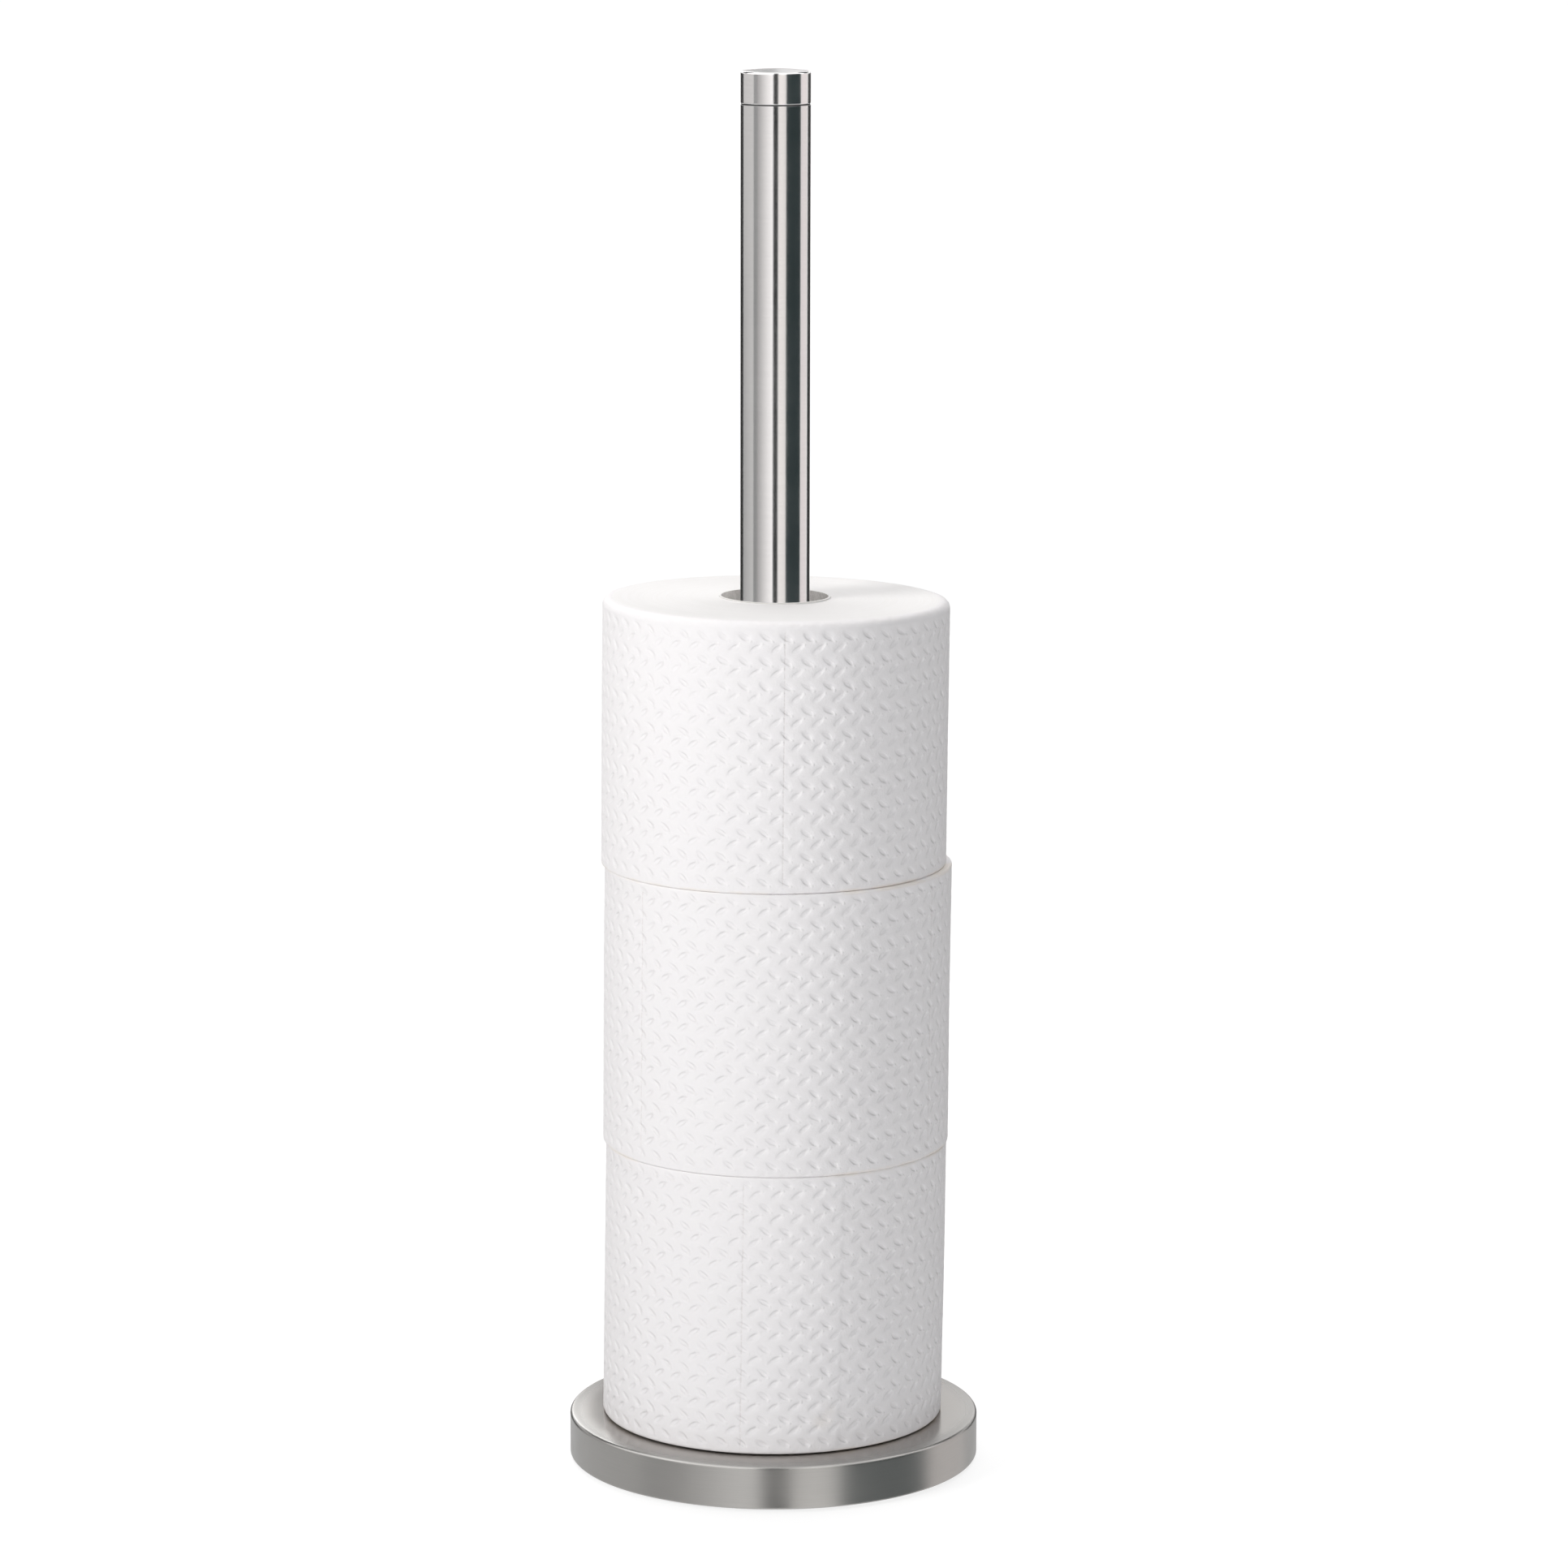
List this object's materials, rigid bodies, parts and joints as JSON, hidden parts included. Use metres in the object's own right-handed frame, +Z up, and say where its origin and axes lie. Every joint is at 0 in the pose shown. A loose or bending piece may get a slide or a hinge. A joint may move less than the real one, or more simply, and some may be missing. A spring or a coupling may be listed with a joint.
{
  "type": "freestanding toilet roll holder",
  "caption": "Freestanding toilet roll holder: a weighted round steel base with a capped upright post that stores stacked rolls through their cardboard cores.",
  "frame": {"origin": "on the floor, under the centre of the round base", "axes": "+Z up along the post; the object is round about +Z, and the picture looks along +Y, with +X to the right"},
  "size_m": [0.148, 0.148, 0.5015],
  "materials": {
    "brushed_steel": "satin",
    "cast_iron": "matte",
    "zinc_plate": "satin",
    "pad_rubber": "matte",
    "plug_nylon": "matte",
    "core_board": "matte",
    "tissue": "matte"
  },
  "bodies": {
    "stand": {"base_shell": "brushed_steel", "ballast_disc": "cast_iron", "floor_pad": "pad_rubber", "clamp_bolt": "zinc_plate", "lock_washer": "zinc_plate", "flat_washer": "zinc_plate", "post_tube": "brushed_steel", "foot_insert": "zinc_plate", "cap_plug": "plug_nylon", "top_cap": "brushed_steel"},
    "bottom_core": {"bottom_roll_core": "core_board"},
    "bottom_paper": {"bottom_roll_paper": "tissue"},
    "middle_core": {"middle_roll_core": "core_board"},
    "middle_paper": {"middle_roll_paper": "tissue"},
    "top_core": {"top_roll_core": "core_board"},
    "top_paper": {"top_roll_paper": "tissue"}
  },
  "joints": [
    {"name": "bottom_roll_lift", "type": "slide", "parent": "stand", "child": "bottom_core", "axis": [0, 0, 1], "range_m": [0, 0.49]},
    {"name": "bottom_roll_turn", "type": "hinge", "parent": "bottom_core", "child": "bottom_paper", "pos_m": [0, 0, 0.0676], "axis": [0, 0, 1], "continuous": true},
    {"name": "middle_roll_lift", "type": "slide", "parent": "bottom_core", "child": "middle_core", "axis": [0, 0, 1], "range_m": [0, 0.39]},
    {"name": "middle_roll_turn", "type": "hinge", "parent": "middle_core", "child": "middle_paper", "pos_m": [0, 0, 0.1689], "axis": [0, 0, 1], "continuous": true},
    {"name": "top_roll_lift", "type": "slide", "parent": "middle_core", "child": "top_core", "axis": [0, 0, 1], "range_m": [0, 0.29]},
    {"name": "top_roll_turn", "type": "hinge", "parent": "top_core", "child": "top_paper", "pos_m": [0, 0, 0.267], "axis": [0, 0, 1], "continuous": true}
  ]
}
